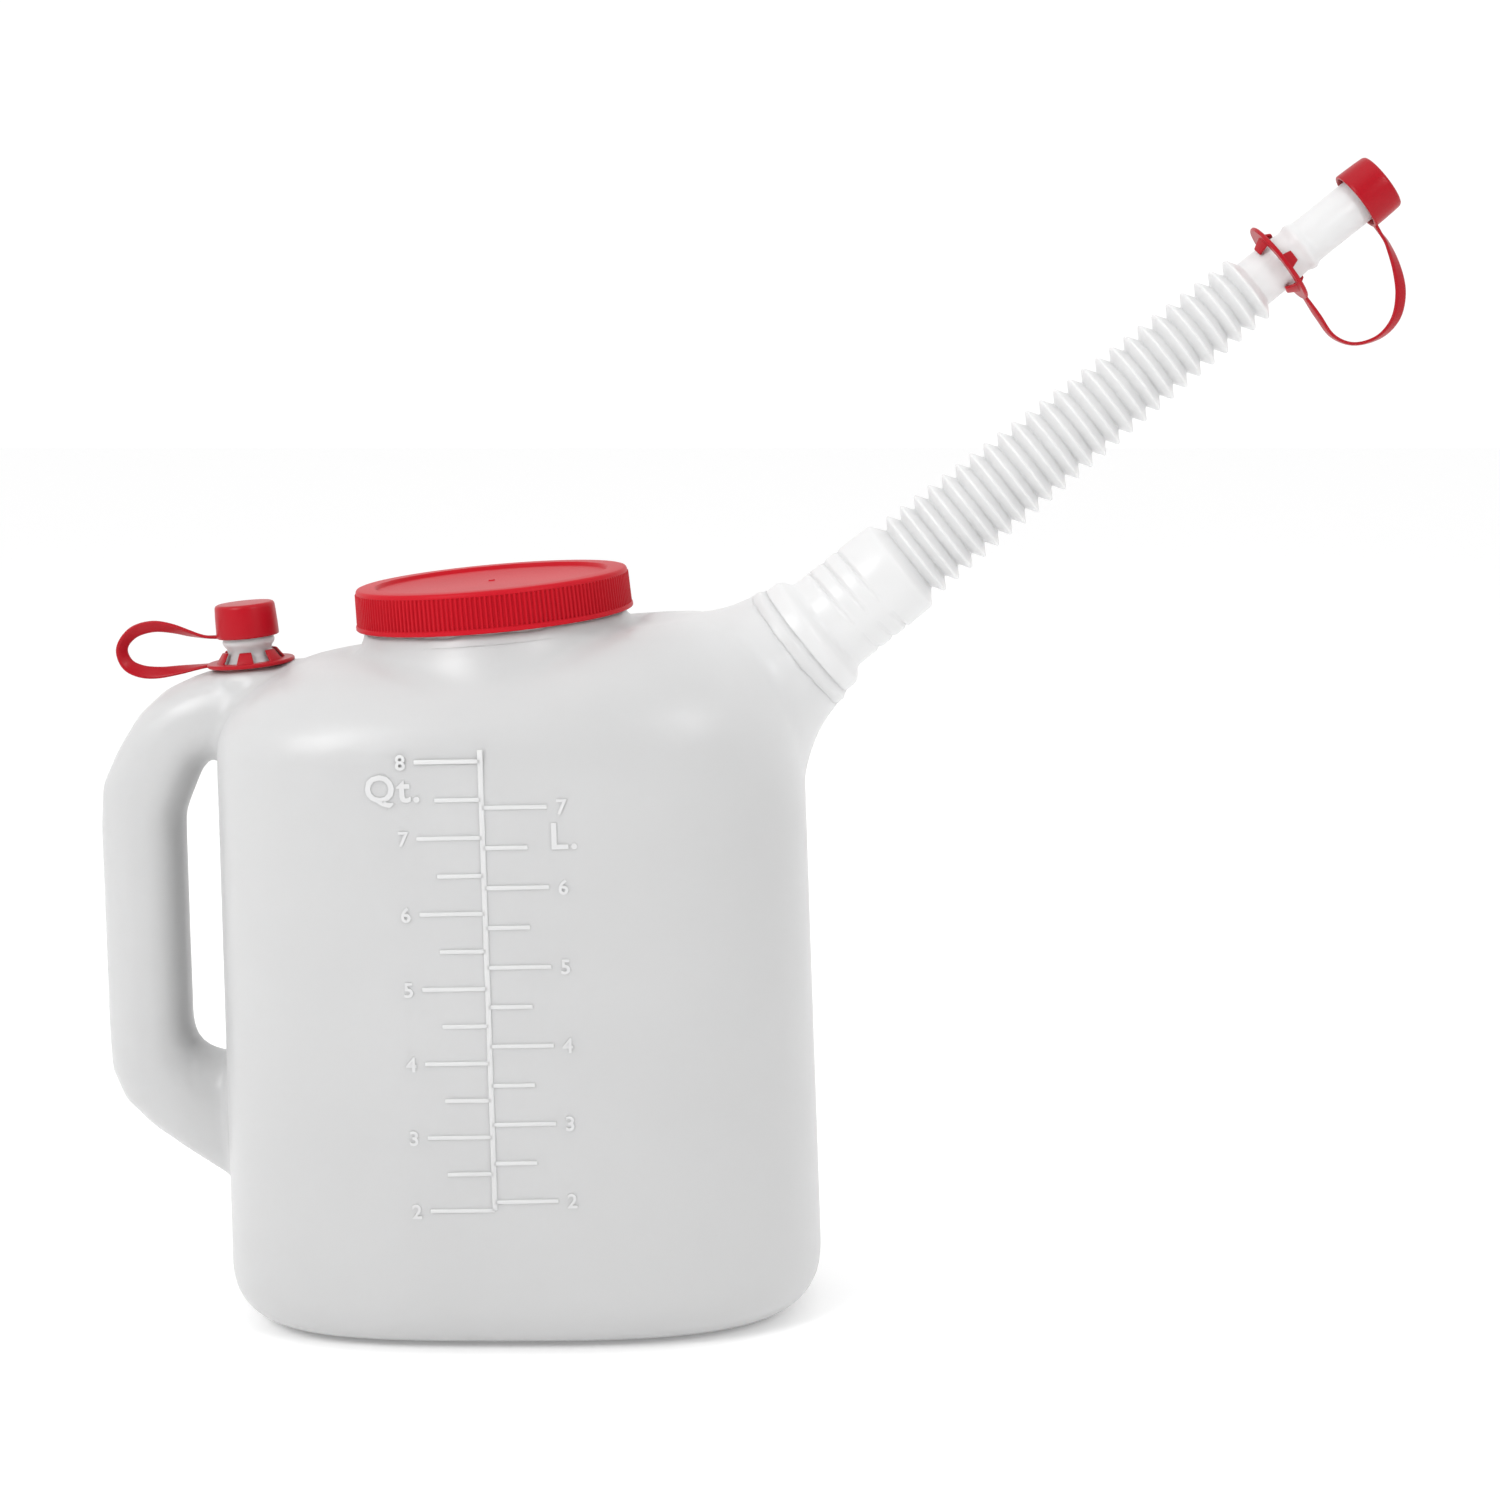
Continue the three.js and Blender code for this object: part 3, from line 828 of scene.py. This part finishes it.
# %% [markdown]
# The last folds run out into a plain tube with a rolled bead, which keeps the cap's ring from sliding off.

# %% Spout: the tip


def make_tip():
    end_of_folds = HINGE[5]
    plain = [
        (10.2, end_of_folds + 0.5), (10.2, end_of_folds + 3), (10.1, 234), (9.85, 240), (9.55, 243),
        (9.5, 244), (9.75, 245), (10.2, 245.9), (10.45, 246.8), (10.5, 247.5), (10.3, 248.3), (9.8, 249.2),
        (9.45, 250.1), (9.3, 251.2), (9.3, 285.6), (9, 286.2),
    ]
    outer = [*folds_section(22, 24), *plain]
    return smooth(turned("spout_tip_tube", walled(outer, BELLOWS_WALL), 112, SPOUT), 30)


tip = make_tip()
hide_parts("bellows_5", "spout_tip")
finish_piece(tip, spout_white)
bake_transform(tip)

seal_section = [(13, 38.3), (18.6, 38.3), (18.8, 38.5), (18.8, 40.1), (18.6, 40.3), (13, 40.3), (13, 38.3)]
seal = smooth(turned("seal_washer", seal_section, 72, SPOUT))
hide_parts("spout_seal")
finish_piece(seal, seal_rubber, "spout_seal")

# %% [markdown]
# Both small caps are the same moulding: a cup, a flat strap and a ring with six fingers that lean against the
# neck. The cup is turned with a soft edge. The ring is turned too, and one finger is shaped from a cube and
# copied round it. The strap is grown along its loop, and its width twists on the way.

# %% Tethered caps: cup and ring
CAP_HEIGHT = 13.7
RING_OUTER, RING_INNER, RING_THICKNESS = 17.85, 12.3, 1.6
FINGERS = 6


def cup(name, seat, mouth):
    section = [
        (0, 12.2), (10.2, 12.2), (10.7, 11.6), (11.1, 4), (11.3, 0.3), (11.6, 0), (12.4, 0), (12.7, 0.3),
        (12.72, 1.2), (12.62, 5), (12.45, 9), (12.25, 12), (12.1, 12.8), (11.7, 13.4), (11.1, 13.65),
        (10.4, CAP_HEIGHT), (0, CAP_HEIGHT),
    ]
    lifted = [(radius, height + mouth) for radius, height in section]
    return smooth(turned(name, lifted, 96, seat), 45)


def finger(toe, rise, lean_down):
    """A tapered finger from the ring's inner edge to the neck, whose radius is toe."""
    select_only()
    bpy.ops.mesh.primitive_cube_add(size=1)
    obj = named("finger")
    root = RING_INNER + 1.2
    for vertex in obj.data.vertices:
        high = vertex.co.z > 0
        outer = vertex.co.x > 0
        radius = (toe if high else root) + (1.2 if outer else 0)
        half_width = 2.4 if high else 3.9
        height = RING_THICKNESS / 2 + rise if high else 0.1
        if lean_down:
            height = RING_THICKNESS - height
        vertex.co = Vector((radius, math.copysign(half_width, vertex.co.y), height)) * MM
    bpy.ops.object.mode_set(mode="EDIT")
    bpy.ops.mesh.select_all(action="SELECT")
    bpy.ops.mesh.normals_make_consistent(inside=False)
    bpy.ops.mesh.bevel(offset=0.3 * MM, segments=2, affect="EDGES")
    bpy.ops.object.mode_set(mode="OBJECT")
    return obj


def fingered_ring(name, seat, bottom, toe, rise, directions):
    """A ring with its fingers, which lean up (1) or down (-1), taking the directions in turn."""
    lip = 0.4
    section = [
        (RING_INNER + lip, 0), (RING_OUTER - lip, 0), (RING_OUTER, lip), (RING_OUTER, RING_THICKNESS - lip),
        (RING_OUTER - lip, RING_THICKNESS), (RING_INNER + lip, RING_THICKNESS),
        (RING_INNER, RING_THICKNESS - lip), (RING_INNER, lip), (RING_INNER + lip, 0),
    ]
    parts = [turned(name, section, 96)]
    for i in range(FINGERS):
        leaf = finger(toe, rise, directions[i % len(directions)] < 0)
        leaf.data.transform(Matrix.Rotation(math.radians(360 / FINGERS * i + 30), 4, "Z"))
        parts.append(leaf)
    select_only(*reversed(parts))
    bpy.ops.object.join()
    whole = named(name)
    whole.data.transform(Matrix.Translation((0, 0, bottom * MM)))
    return smooth(settle(whole, seat), 40)


# %% Tethered caps: the strap
STRAP_WIDTH, STRAP_THICKNESS, STRAP_SIDES = 5.6, 1.4, 12


def curve_point(points, share):
    """A smooth curve through points, at a share of its run from 0 to 1."""
    position = share * (len(points) - 1)
    i = min(int(position), len(points) - 2)
    t = position - i
    before = points[max(i - 1, 0)]
    after = points[min(i + 2, len(points) - 1)]
    here, there = points[i], points[i + 1]
    result = []
    for a, b, c, d in zip(before, here, there, after):
        bend = (2 * a - 5 * b + 4 * c - d) * t * t + (3 * b - a - 3 * c + d) * t**3
        result.append(b + ((c - a) * t + bend) / 2)
    return result


def strap(name, seat, route, twists, steps=72):
    """A flat band through a route of (x, z) points. twists turn its width about its run, in degrees."""
    rings = []
    for i in range(steps + 1):
        share = i / steps
        x, z = curve_point(route, share)
        ahead = Vector(curve_point(route, min(share + 0.004, 1)))
        behind = Vector(curve_point(route, max(share - 0.004, 0)))
        flat_run = (ahead - behind).normalized()
        run = Vector((flat_run.x, 0, flat_run.y))
        twist = math.radians(curve_point([[t] for t in twists], share)[0])
        across = Matrix.Rotation(twist, 3, run) @ Vector((0, 1, 0))
        through = run.cross(across)
        ring = []
        for k in range(STRAP_SIDES):
            angle = 2 * math.pi * (k + 0.5) / STRAP_SIDES
            a = power_of(math.cos(angle), 0.35) * STRAP_WIDTH / 2
            b = power_of(math.sin(angle), 0.7) * STRAP_THICKNESS / 2
            ring.append(tuple(Vector((x, 0, z)) + across * a + through * b))
        rings.append(ring)
    return smooth(grown(name, rings, seat), 50)


# %% The vent's cap, ring and strap
vent_cup = cup("vent_cup", VENT, 11.6)
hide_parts("vent_cap")
finish_piece(vent_cup, red, "vent_cap")

vent_ring = fingered_ring("vent_ring", VENT, 0, 9.7, 5, [1])
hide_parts("vent_strap_ring")
finish_piece(vent_ring, red, "vent_tether")

VENT_STRAP_ROUTE = [
    (-12.0, 12.2), (-17.5, 12.7), (-23.5, 14.6), (-31, 17.4), (-38.5, 18.8), (-46, 17.4), (-51, 13.3),
    (-52.4, 8.8), (-50.3, 3.6), (-45, 0.6), (-38, -0.4), (-29, 0), (-22, 0.5), (-17, 0.8),
]
VENT_STRAP_TWISTS = [0, 12, 35, 55, 60, 45, 45, 60, 55, 35, 12, 0]
vent_strap = strap("vent_band", VENT, VENT_STRAP_ROUTE, VENT_STRAP_TWISTS)
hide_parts("vent_strap")
finish_piece(vent_strap, red)
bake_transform(vent_strap)

# %% The tip's cap, ring and strap
TIP_CAP_MOUTH, TIP_RING = 275.1, 236
tip_cup = cup("tip_cup", SPOUT, TIP_CAP_MOUTH)
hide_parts("tip_cap")
finish_piece(tip_cup, red, "tip_cap")

tip_ring = fingered_ring("tip_ring", SPOUT, TIP_RING, 10.4, 5, [1, -1])
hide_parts("tip_strap_ring")
finish_piece(tip_ring, red, "tip_tether")

TIP_STRAP_ROUTE = [
    (12.0, TIP_CAP_MOUTH + 0.8), (16, 275.6), (21.5, 275.2), (31.5, 272.3), (40.5, 267.5), (47, 260),
    (48.6, 250.5), (44.6, 241), (36.7, 236.2), (27, 236.3), (21, 236.6), (17, TIP_RING + 0.8),
]
TIP_STRAP_TWISTS = [0, 8, 20, 40, 55, 52, 32, 10, 2, 6, 10, 5, 0]
tip_strap = strap("tip_band", SPOUT, TIP_STRAP_ROUTE, TIP_STRAP_TWISTS)
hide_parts("tip_strap")
finish_piece(tip_strap, red)
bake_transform(tip_strap)
